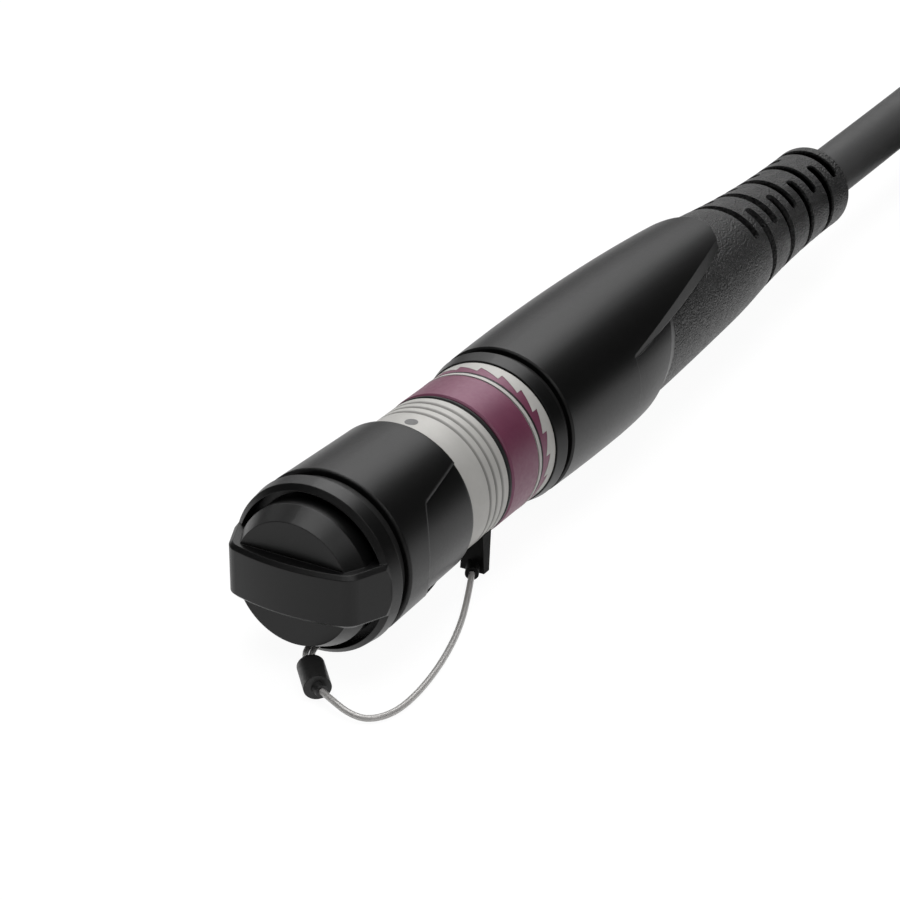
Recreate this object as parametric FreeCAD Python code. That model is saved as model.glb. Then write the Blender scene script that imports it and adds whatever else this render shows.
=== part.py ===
import FreeCAD, Part

import math
import os

from FreeCAD import Vector

# A fibre optic camera cable in millimetres: one black cable with the same round plug on each
# end, each plug closed by a dust cap on a wire tether. A plug is built about the X axis with
# x = 0 at the rim of its cap, the grip towards -X, the cable towards +X and the index dot on
# the +Z side. It is then laid on the floor, z = 0, on the widest ring of its cap.

# Fits
RUN_GAP = 0.3            # radial room between pieces that move on each other
END_GAP = 0.2            # axial room between pieces that move on each other
FINE_BEVEL = 0.3         # broken edge on turned pieces

# Cable and its end inside the plug
CABLE_DIAMETER = 9.8
FIBRE_DIAMETER = 0.9
LEAD_DIAMETER = 1.4
LEAD_CIRCLE = 5.6        # circle of the power leads where they enter the jacket
FIBRE_SPREAD = 2.0       # between the two fibres where they enter the jacket
JACKET_SETBACK = 1.5     # end of the jacket behind the neck

# Contact insert
INSERT_DIAMETER = 17.8
INSERT_RECESS = 2.5      # insert's face behind the rim of the nose
INSERT_LENGTH = 33.0
CONTACT_DIAMETER = 2.2
CONTACT_CIRCLE = 11.6
CONTACT_COUNT = 4
CONTACT_REACH = 0.8      # contact's head in front of the insert's face
LENS_DIAMETER = 3.2
LENS_SPREAD = 6.0        # between the two lens barrels
LENS_REACH = 1.2
PIN_DIAMETER = 1.8
PIN_SPREAD = 10.4        # between the two guide pins
PIN_REACH = 1.8

# Plug shell
NECK_WALL = 1.3
SHELL_STEP = 1.9         # shell's shoulder above the neck
NOSE_STEP = 1.5          # nose below the shell's outside
NOSE_LENGTH = 15.0       # from the cap's rim to the end of the nose
SHELL_IN_CAP = 6.0       # full-diameter shell inside the cap
SHELL_LENGTH = 12.4      # from the cap's rim to the first seal
GROOVE_COUNT = 3
GROOVE_WIDTH = 0.9
GROOVE_DEPTH = 0.3
GROOVE_PITCH = 1.9
GROOVE_SETBACK = 1.5     # last groove in front of the shell's rear edge
DOT_DIAMETER = 2.1
DOT_DEPTH = 0.5
DOT_SETBACK = 3.3        # index dot behind the cap's rim

# Rings on the neck
SEAL_WIDTH = 0.95
SEAL_STAND = 0.03        # first seal above the shell's outside
CARRIER_WALL = 0.8
BAND_WALL = 0.9
BAND_LENGTH = 8.2
LIP_LENGTH = 0.7
LIP_STAND = 0.05         # carrier's lip above the colour band
SLOT_BAND_LENGTH = 0.55
SLOT_BAND_SINK = 0.02    # dark band below the colour band
TOOTH_COUNT = 20
TOOTH_PHASE = 7.0        # degrees by which the first tooth is off the index dot
TOOTH_HEIGHT = 1.3
TOOTH_ROOT_LENGTH = 0.95
LOCK_RING_LENGTH = 1.6
COLLAR_LENGTH = 2.8
COLLAR_STAND = 0.3       # collar's front edge above the colour band
COLLAR_FLARE = 0.5
SPRING_POCKET = 1.2
SPRING_SHEET = 0.4
SPRING_RIM = 0.8         # collar's rim round the spring
HOUSING_SEAL_LENGTH = 1.6
HOUSING_SEAL_SINK = 0.9  # second seal below the housing's front edge

# Housing
NECK_IN_HOUSING = 12.5
HOUSING_WALL = 2.9       # over the neck, at the housing's front
HOUSING_BELLY = 0.3      # belly above the front edge
BELLY_SETBACK = 28.5     # belly behind the front edge
TONGUE_ROOT_SETBACK = 22.5  # where the tongue's flat flanks start, behind the front edge
TONGUE_ROOT_HALF = 12.25
TONGUE_MIDDLE_SETBACK = 41.5
TONGUE_MIDDLE_HALF = 10.3
TONGUE_CORNER_SETBACK = 64.5
TONGUE_CORNER_HALF = 6.3
TONGUE_CORNER_TOP = 10.0 # height at which the corner has that half width
TONGUE_DRAFT = 0.25      # lean of the flanks, outwards per height
TONGUE_SETBACK = 67.7    # tip of the tongue behind the front edge
TONGUE_TIP_WALL = 1.15   # tongue over the boot at its tip
LOBE_TOP = 5.25          # upper edge of the side lobe where the tongue starts
LOBE_RISE = 0.75         # that edge higher at the lobe's rear rim
LOBE_SETBACK = 34.0      # lobe's rear rim behind the front edge, at the axis
LOBE_TILT = 19.0         # degrees by which the rim leans back towards its top
LOBE_STEP = 0.02         # lobe below the housing's curve where it starts
LOBE_FALL = 0.5          # its further fall to the rear rim
LOBE_BEVEL = 0.9         # rim's bevel, radially
LOBE_BEVEL_LENGTH = 3.4

# Cable clamp
CLAMP_LENGTH = 13.0
CLAMP_WALL_STEP = 0.4    # clamp's seat wider than the neck's
CLAMP_SLIT = 1.0
CLAMP_SLIT_LENGTH = 8.0
CRIMP_LENGTH = 8.0
CRIMP_WALL = 1.0

# Boot
BOOT_WALL = 2.1          # boot's root above the neck
BOOT_CONE_LENGTH = 48.0
BOOT_CONE_FALL = 2.0
BOOT_CONE_BULGE = 0.15   # cone's middle above its straight line
BOOT_TAIL_LENGTH = 45.4
BOOT_TAIL_WALL = 3.25    # over the cable, at the boot's end
BOOT_TAIL_HOLLOW = 0.76  # tail's middle below its straight line
BOOT_EDGE = 1.0
BOOT_EASE = 5.0          # length on each side of the shoulder that eases the cone into the tail
RELIEF_COUNT = 5         # pairs of slots from above and below
RELIEF_WIDTH = 2.3
RELIEF_PITCH = 9.2
RELIEF_END = 3.9         # last slot in front of the boot's end
RELIEF_CORE = 0.7        # wall left over the cable
RELIEF_HALF_ANGLE = 55.0      # reach of the slots from above and below, in degrees
RELIEF_SIDE_HALF_ANGLE = 70.0 # reach of the slots from the sides
RELIEF_ROUND = 0.45      # rounding of a slot's ends, as a share of its width

# Dust cap
CAP_RIM_WALL = 0.95
CAP_FLARE = 0.45
CAP_LENGTH = 19.8
GASKET_LENGTH = 0.6
GASKET_WALL = 2.4
SIDE_RELIEF_DEPTH = 0.5
SIDE_RELIEF_BEVEL = 0.84 # share of that depth taken by the bevel of the front edge
SIDE_RELIEF_CROWN = 13.7 # front edge of the relief at the axis, from the rim
SIDE_RELIEF_TOP = (10.6, 7.7)   # upper corner: from the rim, above the axis
SIDE_RELIEF_FOOT = (7.0, 10.2)  # lower corner: from the rim, below the axis
SIDE_RELIEF_TOP_REAR = 9.2      # upper edge above the axis at the rim
SIDE_RELIEF_FOOT_REAR = 11.5    # lower edge below the axis at the rim
KNOB_RING_STAND = 0.1    # knob's ring above the front of the sleeve
KNOB_GROOVE = 2.2
KNOB_GROOVE_DEPTH = 2.2
GROOVE_SEAL_SINK = 0.9
KNOB_RING_LENGTH = 2.7
KNOB_RING_FALL = 0.3
KNOB_LIP = 1.0           # ring's bevelled lip, radially
KNOB_LIP_LENGTH = 0.8
KNOB_FLOOR = 0.9         # floor of the finger pockets
POCKET_WIDTH = 1.25
DOME_LENGTH = 4.3
DOME_BEVEL = 1.5
DOME_BEVEL_LENGTH = 3.1
SPIGOT_DIAMETER = 10.0
SPIGOT_LENGTH = 2.5
BAR_WIDTH = 8.6
BAR_STAND = 2.5          # bar's face in front of the dome
BAR_CROWN = 1.6
BAR_FACE = 21.2          # length of the bar's front face
BAR_ROOT = 0.9           # bar's end above the ring's floor
BAR_CORNER = 3.0
BAR_EDGE = 0.6

# Tether
WIRE_DIAMETER = 1.0
LEG_DIAMETER = 0.9
LEG_SPREAD = 1.05
FERRULE_WIDTH = 4.2
FERRULE_HEIGHT = 3.8
FERRULE_LENGTH = 6.4
FERRULE_MOUTH = 1.2
FERRULE_RIM = 0.5
FERRULE_NOZZLE = 1.9
FERRULE_NOZZLE_LENGTH = 1.2
FERRULE_NOZZLE_TURN = 22.0  # degrees by which the nozzle turns towards the tether
CLIP_NUB_DIAMETER = 2.2
CLIP_NUB_LENGTH = 3.2
CLIP_NUB_HEADING = 206.0 # degrees about the vertical
CLIP_DROP = 4.6          # lug's upper end below the axis
CLIP_TIP_GAP = 0.6       # lug's tip above the floor
CLIP_X = (8.2, 11.2)     # lug along the shell, at its upper end
CLIP_Y = (-9.7, -6.5)    # lug across the shell, at its upper end
CLIP_TIP_X = (7.4, 9.0)
CLIP_TIP_Y = (-10.5, -6.2)
FERRULE_PLACE = (-31.45, -3.63)  # middle of the ferrule's mouth
FERRULE_HEADING = 221.6  # degrees about the vertical
LEG_BEND = (-28.0, -0.75)

TETHER_LEAD = 2.6        # tether's straight start at the nozzle

# Route of the tether from there to the clip: (x, y) on the plug, height above the wire's rest
TETHER_POINTS = [
    (-38.8, -14.6, 0.6),
    (-38.2, -17.6, 0.0),
    (-34.6, -19.9, 0.0),
    (-28.0, -19.95, 0.0),
    (-19.5, -18.6, 0.0),
    (-10.6, -16.2, 0.0),
    (-2.2, -13.0, 0.2),
    (5.2, -9.6, 1.0),
]

# Coil of the cable that is put away, and its tie
COIL_COLUMNS = 3
COIL_LAYERS = 2
COIL_MIDDLE_DIAMETER = 94.0
TIE_THICKNESS = 1.0
TIE_WIDTH = 16.0
TIE_SLACK = 1.0
COIL_EDGE = 4.1          # rounding of the coil's outline
COIL_PLACE = 166.0       # coil's middle along the plug, from the part's origin
FAR_BOOT_GAP = 60.0      # from the far boot's end to the coil's middle
FAR_LEAD = 18.0          # level ends of the run that climbs to the far boot

# What the far plug's closed housing hides is built in the near plug alone
HIDDEN_IN_FAR_PLUG = ("optical_fibres", "power_leads", "disc_spring", "cable_clamp", "crimp_sleeve")

# Radii that follow from the sizes above, from the middle outwards
cable_r = CABLE_DIAMETER / 2
bore_r = INSERT_DIAMETER / 2
neck_r = bore_r + NECK_WALL
shell_r = neck_r + SHELL_STEP
nose_r = shell_r - NOSE_STEP
carrier_in_r = neck_r + RUN_GAP
carrier_r = carrier_in_r + CARRIER_WALL
band_r = carrier_r + BAND_WALL
lip_r = band_r + LIP_STAND
collar_r = band_r + COLLAR_STAND
housing_r = neck_r + HOUSING_WALL
clamp_r = neck_r + CLAMP_WALL_STEP
boot_root_r = neck_r + BOOT_WALL
boot_shoulder_r = boot_root_r - BOOT_CONE_FALL
boot_end_r = cable_r + BOOT_TAIL_WALL
cap_rim_r = shell_r + RUN_GAP + CAP_RIM_WALL
cap_front_r = cap_rim_r + CAP_FLARE
knob_ring_r = cap_front_r + KNOB_RING_STAND
knob_lip_r = knob_ring_r - KNOB_RING_FALL - KNOB_LIP + KNOB_RING_STAND
dome_r = knob_lip_r - POCKET_WIDTH
axis_height = knob_ring_r

# Stations along the plug
seal_x = SHELL_LENGTH
band_x = seal_x + SEAL_WIDTH + END_GAP
lip_x = band_x + BAND_LENGTH
slot_band_x = lip_x + LIP_LENGTH
tooth_x = slot_band_x + SLOT_BAND_LENGTH
tooth_root_x = tooth_x + TOOTH_ROOT_LENGTH
lock_end_x = tooth_root_x + TOOTH_HEIGHT + LOCK_RING_LENGTH
collar_x = lock_end_x + END_GAP
housing_seal_x = collar_x + COLLAR_LENGTH
housing_x = housing_seal_x + HOUSING_SEAL_LENGTH
neck_end_x = housing_x + NECK_IN_HOUSING
boot_x = neck_end_x + CLAMP_LENGTH
boot_shoulder_x = boot_x + BOOT_CONE_LENGTH
boot_end_x = boot_shoulder_x + BOOT_TAIL_LENGTH
insert_x = -NOSE_LENGTH + INSERT_RECESS
insert_end_x = insert_x + INSERT_LENGTH
jacket_x = neck_end_x + JACKET_SETBACK
knob_x = -CAP_LENGTH - KNOB_GROOVE
knob_crest_x = knob_x - KNOB_RING_LENGTH
knob_front_x = knob_crest_x - KNOB_LIP_LENGTH
pocket_x = knob_x - KNOB_FLOOR
dome_rim_x = pocket_x - DOME_LENGTH
dome_face_x = dome_rim_x - DOME_BEVEL_LENGTH
bar_face_x = dome_face_x - BAR_STAND

# The part's origin is on the floor under the middle of the near plug
middle_x = (bar_face_x + boot_end_x) / 2

X_AXIS = Vector(1, 0, 0)
ORIGIN = Vector(0, 0, 0)


def revolved(edges):
    """Solid of revolution about X from the closed outline that the edges make in the XZ plane."""
    face = Part.Face(Part.Wire(Part.__sortEdges__(edges)))
    return face.revolve(ORIGIN, X_AXIS, 360)


def outline(points):
    """Straight edges through (x, radius) points, closed."""
    corners = [Vector(x, 0, r) for x, r in points]
    return [Part.makeLine(a, b) for a, b in zip(corners, corners[1:] + corners[:1])]


def turned(*points):
    return revolved(outline(points))


def ring(x0, x1, r_in, r_out, bevel=0.0):
    """Turned ring, with both outer edges broken."""
    if bevel == 0:
        return turned((x0, r_in), (x0, r_out), (x1, r_out), (x1, r_in))
    return turned((x0, r_in), (x0, r_out - bevel), (x0 + bevel, r_out),
                  (x1 - bevel, r_out), (x1, r_out - bevel), (x1, r_in))


def rod(x0, x1, r, y=0.0, z=0.0):
    return Part.makeCylinder(r, x1 - x0, Vector(x0, y, z), X_AXIS)


def lead(x0, x1, start, end, r):
    """Round lead from (y, z) at x0 to (y, z) at x1, with both end faces across X."""
    circle = Part.Circle(Vector(x0, *start), X_AXIS, r).toShape()
    face = Part.Face(Part.Wire(circle))
    return face.extrude(Vector(x1 - x0, end[0] - start[0], end[1] - start[1]))


def on_circle(diameter, degrees):
    angle = math.radians(degrees)
    return diameter / 2 * math.cos(angle), diameter / 2 * math.sin(angle)


def arc_edge(start, middle, end):
    """Arc through three (x, radius) points."""
    a, b, c = [Vector(x, 0, r) for x, r in (start, middle, end)]
    return Part.Arc(a, b, c).toShape()


def side_prism(points, y0, y1):
    """Prism across the plug with a side-view outline of (x, z) points."""
    corners = [Vector(x, y0, z) for x, z in points]
    face = Part.Face(Part.makePolygon(corners + corners[:1]))
    return face.extrude(Vector(0, y1 - y0, 0))


# Plug shell and what is in it

def contact_places():
    return [on_circle(CONTACT_CIRCLE, 45 + i * 360 / CONTACT_COUNT) for i in range(CONTACT_COUNT)]


def lens_places():
    return [(side * LENS_SPREAD / 2, 0) for side in (-1, 1)]


def pin_places():
    return [(0, side * PIN_SPREAD / 2) for side in (-1, 1)]


def lens_barrels():
    return Part.makeCompound([rod(insert_x - LENS_REACH, insert_end_x, LENS_DIAMETER / 2, y, z)
                              for y, z in lens_places()])


def power_contacts():
    return Part.makeCompound([rod(insert_x - CONTACT_REACH, insert_end_x, CONTACT_DIAMETER / 2, y, z)
                              for y, z in contact_places()])


def guide_pins():
    return Part.makeCompound([rod(insert_x - PIN_REACH, insert_x + INSERT_LENGTH / 2, PIN_DIAMETER / 2, y, z)
                              for y, z in pin_places()])


def contact_insert():
    body = ring(insert_x, insert_end_x, 0, bore_r, FINE_BEVEL)
    return body.cut([lens_barrels(), power_contacts(), guide_pins()])


def optical_fibres():
    return Part.makeCompound([lead(insert_end_x, jacket_x, (y, z),
                                   (math.copysign(FIBRE_SPREAD / 2, y), z), FIBRE_DIAMETER / 2)
                              for y, z in lens_places()])


def power_leads():
    ends = [on_circle(LEAD_CIRCLE, 45 + i * 360 / CONTACT_COUNT) for i in range(CONTACT_COUNT)]
    return Part.makeCompound([lead(insert_end_x, jacket_x, start, end, LEAD_DIAMETER / 2)
                              for start, end in zip(contact_places(), ends)])


def index_dot():
    return Part.makeCylinder(DOT_DIAMETER / 2, DOT_DEPTH, Vector(DOT_SETBACK, 0, shell_r - DOT_DEPTH))


def plug_shell():
    body = turned((-NOSE_LENGTH, bore_r), (-NOSE_LENGTH, nose_r - FINE_BEVEL),
                  (-NOSE_LENGTH + FINE_BEVEL, nose_r), (-SHELL_IN_CAP, nose_r),
                  (-SHELL_IN_CAP, shell_r - FINE_BEVEL), (-SHELL_IN_CAP + FINE_BEVEL, shell_r),
                  (seal_x - FINE_BEVEL, shell_r), (seal_x, shell_r - FINE_BEVEL),
                  (seal_x, neck_r), (neck_end_x, neck_r), (neck_end_x, bore_r))
    cuts = []
    for i in range(GROOVE_COUNT):
        x = seal_x - GROOVE_SETBACK - i * GROOVE_PITCH
        cuts.append(turned((x - GROOVE_WIDTH, shell_r), (x - GROOVE_WIDTH / 2, shell_r - GROOVE_DEPTH),
                           (x, shell_r), (x, shell_r + GROOVE_DEPTH),
                           (x - GROOVE_WIDTH, shell_r + GROOVE_DEPTH)))
    cuts.append(Part.makeCylinder(DOT_DIAMETER / 2, 2 * DOT_DEPTH,
                                  Vector(DOT_SETBACK, 0, shell_r - DOT_DEPTH)))
    return body.cut(cuts)


# Rings on the neck

def shell_seal():
    return ring(seal_x, seal_x + SEAL_WIDTH, neck_r, shell_r + SEAL_STAND, FINE_BEVEL)


def ring_carrier():
    """Sleeve that turns on the neck, with the lip behind the colour band."""
    return turned((band_x, carrier_in_r), (band_x, carrier_r), (lip_x, carrier_r), (lip_x, lip_r),
                  (slot_band_x, lip_r), (slot_band_x, carrier_r), (lock_end_x, carrier_r),
                  (lock_end_x, carrier_in_r))


def colour_band():
    return ring(band_x, lip_x, carrier_r, band_r, FINE_BEVEL)


def slot_band():
    return ring(slot_band_x, tooth_x, carrier_r, band_r - SLOT_BAND_SINK)


def ramp_teeth(r_out):
    """Step-and-ramp teeth that point towards the cable, each in its own sector."""
    pitch = 360 / TOOTH_COUNT
    wires = []
    for r in (carrier_in_r, 2 * band_r):
        half = r * math.tan(math.radians(pitch / 2))
        corners = [Vector(tooth_root_x, -half, r), Vector(tooth_root_x + TOOTH_HEIGHT, half, r),
                   Vector(tooth_root_x, half, r)]
        wires.append(Part.makePolygon(corners + corners[:1]))
    blank = ring(tooth_x, lock_end_x, carrier_r, r_out)
    tooth = Part.makeLoft(wires, True, True).common(blank)
    teeth = [tooth.copy() for i in range(TOOTH_COUNT)]
    for i, copy in enumerate(teeth):
        copy.rotate(ORIGIN, X_AXIS, TOOTH_PHASE + i * pitch)
    return teeth


def tooth_band():
    root = ring(tooth_x, tooth_root_x, carrier_r, band_r)
    return root.fuse(ramp_teeth(band_r)).removeSplitter()


def lock_ring():
    """Pale ring whose front edge follows the teeth and stands above them."""
    return ring(tooth_root_x, lock_end_x, carrier_r, lip_r).cut(ramp_teeth(lip_r + LIP_STAND))


def disc_spring():
    """Cone of spring sheet between the collar's pocket and the neck."""
    outer_r = collar_r - SPRING_RIM
    inner_x = collar_x + SPRING_POCKET
    return turned((collar_x, outer_r - SPRING_SHEET), (collar_x, outer_r), (collar_x + SPRING_SHEET, outer_r),
                  (inner_x, neck_r + SPRING_SHEET), (inner_x, neck_r), (inner_x - SPRING_SHEET, neck_r))


def collar():
    rear_r = collar_r + COLLAR_FLARE
    pocket_r = collar_r - SPRING_RIM
    return turned((collar_x, pocket_r), (collar_x, collar_r), (housing_seal_x - FINE_BEVEL, rear_r),
                  (housing_seal_x, rear_r - FINE_BEVEL), (housing_seal_x, neck_r),
                  (collar_x + SPRING_POCKET, neck_r), (collar_x + SPRING_POCKET, pocket_r))


def housing_seal():
    return ring(housing_seal_x, housing_x, neck_r, housing_r - HOUSING_SEAL_SINK, FINE_BEVEL)


# Housing, boot and cable clamp

def arc_part(edge, start, end):
    """Three points of an arc edge between two fractions of its length."""
    first, span = edge.FirstParameter, edge.LastParameter - edge.FirstParameter
    return [edge.valueAt(first + f * span) for f in (start, (start + end) / 2, end)]


def boot_outline():
    """Upper edges of the boot: a full cone that eases into a hollow tail."""
    shoulder = (boot_shoulder_x, boot_shoulder_r)
    cone_x = (boot_x + boot_shoulder_x) / 2
    tail_x = (boot_shoulder_x + boot_end_x) / 2
    cone_r = (boot_root_r + boot_shoulder_r) / 2 + BOOT_CONE_BULGE
    tail_r = (boot_shoulder_r + boot_end_r) / 2 - BOOT_TAIL_HOLLOW
    full_cone = arc_edge((boot_x, boot_root_r), (cone_x, cone_r), shoulder)
    full_tail = arc_edge(shoulder, (tail_x, tail_r), (boot_end_x, boot_end_r))
    cone = arc_part(full_cone, 0, 1 - BOOT_EASE / BOOT_CONE_LENGTH)
    tail = arc_part(full_tail, BOOT_EASE / BOOT_TAIL_LENGTH, 1)
    chord_middle = (cone[2] + tail[0]) / 2
    knee = [cone[2], (chord_middle + Vector(boot_shoulder_x, 0, boot_shoulder_r)) / 2, tail[0]]
    return [Part.Arc(*points).toShape() for points in (cone, knee, tail)]


def boot_solid(r_in):
    root, end = Vector(boot_x, 0, boot_root_r), Vector(boot_end_x, 0, boot_end_r)
    inner_root, inner_end = Vector(boot_x, 0, r_in), Vector(boot_end_x, 0, r_in)
    return revolved(boot_outline() + [Part.makeLine(end, inner_end), Part.makeLine(inner_end, inner_root),
                                      Part.makeLine(inner_root, root)])


def relief_slot(x, degrees, half_angle):
    """Wedge of a ring, with rounded ends, that opens one side of the boot's tail."""
    blank = ring(x - RELIEF_WIDTH / 2, x + RELIEF_WIDTH / 2, cable_r + RELIEF_CORE, boot_root_r)
    reach = 2 * boot_root_r
    half = math.radians(half_angle)
    corners = [Vector(x - RELIEF_WIDTH, 0, 0),
               Vector(x - RELIEF_WIDTH, reach * math.cos(half), -reach * math.sin(half)),
               Vector(x - RELIEF_WIDTH, reach, 0),
               Vector(x - RELIEF_WIDTH, reach * math.cos(half), reach * math.sin(half))]
    wedge = Part.Face(Part.makePolygon(corners + corners[:1])).extrude(Vector(2 * RELIEF_WIDTH, 0, 0))
    wedge.rotate(ORIGIN, X_AXIS, degrees)
    slot = blank.common(wedge)
    ends = [e for e in slot.Edges if e.Curve.TypeId == "Part::GeomLine"]
    return slot.makeFillet(RELIEF_ROUND * RELIEF_WIDTH, ends)


def boot():
    body = boot_solid(cable_r)
    rim = [e for e in body.Edges if abs(e.BoundBox.XMin - boot_end_x) < 0.01
           and e.BoundBox.ZMax > boot_end_r - 0.01]
    body = body.makeFillet(BOOT_EDGE, rim)
    slots = []
    last_x = boot_end_x - RELIEF_END
    for i in range(RELIEF_COUNT):
        x = last_x - i * RELIEF_PITCH
        slots += [relief_slot(x, degrees, RELIEF_HALF_ANGLE) for degrees in (90, 270)]
        if i > 0:
            side_x = x + RELIEF_PITCH / 2
            slots += [relief_slot(side_x, degrees, RELIEF_SIDE_HALF_ANGLE) for degrees in (0, 180)]
    return body.cut(slots)


def tongue_outline(level):
    """Plan of the tongue at a height: bowed flanks that close in towards a round tip."""
    root_x, waist_x = housing_x + TONGUE_ROOT_SETBACK, housing_x + TONGUE_MIDDLE_SETBACK
    corner_x, tip_x = housing_x + TONGUE_CORNER_SETBACK, housing_x + TONGUE_SETBACK
    grow = TONGUE_DRAFT * (TONGUE_CORNER_TOP - level)
    root_grow = TONGUE_DRAFT * (LOBE_TOP - level)
    middle_grow = (grow + root_grow) / 2
    roots = [Vector(root_x, side * (TONGUE_ROOT_HALF + root_grow), level) for side in (-1, 1)]
    middles = [Vector(waist_x, side * (TONGUE_MIDDLE_HALF + middle_grow), level) for side in (-1, 1)]
    corners = [Vector(corner_x, side * (TONGUE_CORNER_HALF + grow), level) for side in (-1, 1)]
    flanks = [Part.Arc(*points).toShape() for points in zip(roots, middles, corners)]
    tip = Part.Arc(corners[0], Vector(tip_x, 0, level), corners[1]).toShape()
    return Part.Wire(Part.__sortEdges__(flanks + [tip, Part.makeLine(roots[0], roots[1])]))


def tongue():
    return Part.makeLoft([tongue_outline(0), tongue_outline(housing_r + LOBE_TOP)], True, True)


def flank_blank(upper):
    """Block behind the tongue's root, above or below the upper edge of the side lobes."""
    reach = 2 * housing_r
    root_x, rim_x = housing_x + TONGUE_ROOT_SETBACK, housing_x + LOBE_SETBACK
    far_x = boot_end_x
    slope = LOBE_RISE / (rim_x - root_x)
    line = [(root_x, LOBE_TOP), (far_x, LOBE_TOP + slope * (far_x - root_x))]
    level = reach if upper else -reach
    return side_prism(line + [(far_x, level), (root_x, level)], -reach, reach)


def housing_curve():
    """Long outside curve of the housing, from its front edge over the belly to the tongue's tip."""
    tip_x = housing_x + TONGUE_SETBACK
    cone_span = (tip_x - boot_x) / BOOT_CONE_LENGTH
    tip_r = boot_root_r - BOOT_CONE_FALL * cone_span + TONGUE_TIP_WALL
    belly = (housing_x + BELLY_SETBACK, housing_r + HOUSING_BELLY)
    return arc_edge((housing_x + FINE_BEVEL, housing_r), belly, (tip_x, tip_r))


def lobe_radius(x):
    """Radius of the side lobes, which bend away from the housing's curve without a crease."""
    circle = housing_curve().Curve
    curve_r = circle.Center.z + math.sqrt(circle.Radius ** 2 - (x - circle.Center.x) ** 2)
    root_x, rim_x = housing_x + TONGUE_ROOT_SETBACK, housing_x + LOBE_SETBACK
    return curve_r - LOBE_STEP - LOBE_FALL * ((x - root_x) / (rim_x - root_x)) ** 2


def lobe_rim():
    """Oval cone whose surface is the bevel of the side lobes' tilted rim."""
    lean = math.radians(LOBE_TILT)
    upward = Vector(math.sin(lean), 0, math.cos(lean))
    lobe_r = lobe_radius(housing_x + LOBE_SETBACK)
    wires = []
    for side in (-1, 1):
        middle = Vector(housing_x + LOBE_SETBACK + side * LOBE_BEVEL_LENGTH, 0, 0)
        r = lobe_r - side * LOBE_BEVEL
        oval = Part.Ellipse(middle + upward * (r / math.cos(lean)), middle + Vector(0, r, 0), middle)
        wires.append(Part.Wire(oval.toShape()))
    return Part.makeLoft(wires, True, True)


def behind_lobe_rim():
    """Block behind the front of the rim's bevel, tilted with the rim."""
    reach = 2 * housing_r
    lean = reach * math.tan(math.radians(LOBE_TILT))
    front_x = housing_x + LOBE_SETBACK - LOBE_BEVEL_LENGTH
    far_x = boot_end_x
    return side_prism([(front_x + lean, reach), (front_x - lean, -reach), (far_x, -reach), (far_x, reach)],
                      -reach, reach)


def lobe_skin():
    """What the side lobes lose as they fall below the belly."""
    reach = 2 * housing_r
    root_x = housing_x + TONGUE_ROOT_SETBACK
    end_x = housing_x + LOBE_SETBACK + 2 * LOBE_BEVEL_LENGTH
    falling = [(x, lobe_radius(x)) for x in (root_x, (root_x + end_x) / 2, end_x)]
    outside = [falling[2], (end_x, reach), (root_x, reach), falling[0]]
    corners = [Vector(x, 0, r) for x, r in outside]
    return revolved([arc_edge(*falling)] + [Part.makeLine(a, b) for a, b in zip(corners, corners[1:])])


def housing():
    """Moulded housing: a round front, two side lobes and a tongue over the boot."""
    curve = housing_curve()
    front, tip = curve.valueAt(curve.FirstParameter), curve.valueAt(curve.LastParameter)
    inside = [Vector(x, 0, r) for x, r in (
        (tip.x, clamp_r), (neck_end_x, clamp_r), (neck_end_x, neck_r), (housing_x, neck_r),
        (housing_x, housing_r - FINE_BEVEL))]
    corners = [tip] + inside + [front]
    body = revolved([curve] + [Part.makeLine(a, b) for a, b in zip(corners, corners[1:])])
    body = body.cut(lobe_skin().common(flank_blank(False)))
    body = body.cut(flank_blank(True).cut(tongue()))
    body = body.cut(flank_blank(False).common(behind_lobe_rim()).cut(lobe_rim()))
    return body.cut(boot_solid(0))


def cable_clamp():
    crimp_r = cable_r + CRIMP_WALL
    crimp_end_x = jacket_x + CRIMP_LENGTH
    body = turned((neck_end_x, crimp_r), (neck_end_x, clamp_r), (boot_x, clamp_r), (boot_x, cable_r),
                  (crimp_end_x, cable_r), (crimp_end_x, crimp_r))
    slits = []
    for i in range(CONTACT_COUNT):
        slit = Part.makeBox(CLAMP_SLIT_LENGTH, CLAMP_SLIT, 2 * clamp_r,
                            Vector(boot_x - CLAMP_SLIT_LENGTH, -CLAMP_SLIT / 2, 0))
        slit.rotate(ORIGIN, X_AXIS, i * 360 / CONTACT_COUNT)
        slits.append(slit.cut(rod(neck_end_x, boot_x, cable_r)))
    return body.cut(slits)


def crimp_sleeve():
    return ring(jacket_x, jacket_x + CRIMP_LENGTH, cable_r, cable_r + CRIMP_WALL)


def cable_end():
    return rod(jacket_x, boot_end_x, cable_r)


# Dust cap

def on_relief_front(edge):
    """Whether this is the outer one of the two long edges at the front of a side relief."""
    box = edge.BoundBox
    if abs(box.XMin + SIDE_RELIEF_CROWN) > 0.05 or box.ZLength < SIDE_RELIEF_TOP[1]:
        return False
    crown_r = cap_rim_r + CAP_FLARE * SIDE_RELIEF_CROWN / CAP_LENGTH
    return max(abs(box.YMin), abs(box.YMax)) > crown_r - SIDE_RELIEF_DEPTH / 2


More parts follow.
